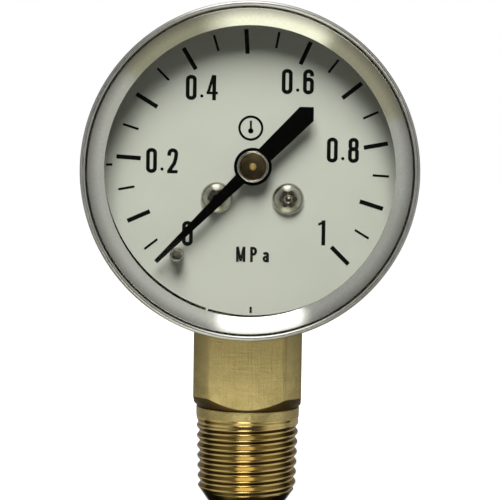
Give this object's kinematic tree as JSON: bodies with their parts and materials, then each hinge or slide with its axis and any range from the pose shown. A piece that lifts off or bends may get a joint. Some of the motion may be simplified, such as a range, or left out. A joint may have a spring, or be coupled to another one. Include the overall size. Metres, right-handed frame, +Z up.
{
  "type": "pressure gauge",
  "caption": "Small round Bourdon tube pressure gauge with a bevelled ring, pale dial, black pointer and a bottom brass stem with a male taper thread.",
  "frame": {"origin": "centre of the stem's lower end face, on the stem axis", "axes": "+Z up the stem towards the case, the dial faces -Y, +X is to the right of someone reading the dial"},
  "size_m": [0.0423, 0.0256, 0.0652],
  "materials": {
    "plated_steel": "polished plating on drawn sheet steel, dull on the back and sides",
    "bezel_metal": "circular brushed and lacquered, with a bright chamfer",
    "lens_glass": "flat clear window, gloss on both faces",
    "gasket_rubber": "matt black nitrile rubber",
    "dial_paint": "matt off-white enamel on aluminium sheet, printed in black",
    "screw_steel": "bright zinc plated steel",
    "pin_steel": "turned steel with a bright chamfer",
    "pointer_paint": "matt black paint on aluminium sheet",
    "hub_metal": "turned, bright rim and dark recess",
    "movement_brass": "blanked brass sheet, fine brushed faces",
    "shaft_brass": "turned and cut brass, bright",
    "shaft_steel": "ground steel",
    "spring_bronze": "rolled phosphor bronze strip, bright edges",
    "tube_bronze": "drawn phosphor bronze, slightly darkened by soldering",
    "socket_brass": "machined free-cutting brass, drawn flats and turned thread"
  },
  "bodies": {
    "housing": {"case": "plated_steel", "bezel_ring": "bezel_metal", "lens": "lens_glass", "lens_gasket": "gasket_rubber", "dial": "dial_paint", "dial_screws": "screw_steel", "stop_pin": "pin_steel", "hairspring": "spring_bronze", "hairspring_stud": "shaft_brass", "front_plate": "movement_brass", "back_plate": "movement_brass", "pillars": "shaft_brass", "movement_screws": "screw_steel", "bourdon_tube": "tube_bronze", "socket": "socket_brass", "inlet_restrictor": "shaft_brass", "case_screws": "screw_steel"},
    "pointer_group": {"pointer": "pointer_paint", "pointer_hub": "hub_metal", "pinion_shaft": "shaft_brass", "hairspring_collet": "shaft_brass"},
    "sector_group": {"sector_gear": "movement_brass", "sector_shaft": "shaft_steel"},
    "tip_group": {"tube_tip": "tube_bronze", "tip_screw": "shaft_steel"},
    "link_group": {"link": "movement_brass", "link_pin": "shaft_steel"}
  },
  "joints": [
    {"name": "pointer_turn", "type": "hinge", "parent": "housing", "child": "pointer_group", "pos_m": [0.0002, 0, 0.04475], "axis": [0, 1, 0], "range_deg": [0, 271], "deforming": ["hairspring"]},
    {"name": "sector_swing", "type": "hinge", "parent": "housing", "child": "sector_group", "pos_m": [0.0047, 0, 0.03696], "axis": [0, 1, 0], "range_deg": [-33.9, 0]},
    {"name": "tip_travel", "type": "hinge", "parent": "housing", "child": "tip_group", "pos_m": [-0.00208, 0, 0.04849], "axis": [0, 1, 0], "range_deg": [-9, 0], "deforming": ["bourdon_tube"]},
    {"name": "link_swing", "type": "hinge", "parent": "tip_group", "child": "link_group", "pos_m": [0.01103, 0, 0.03932], "axis": [0, 1, 0], "range_deg": [0, 9]}
  ],
  "couplings": [
    {"joint": "sector_swing", "follows": "pointer_turn", "ratio": -0.125},
    {"joint": "tip_travel", "follows": "pointer_turn", "ratio": -0.033141},
    {"joint": "link_swing", "follows": "pointer_turn", "ratio": 0.033141}
  ]
}
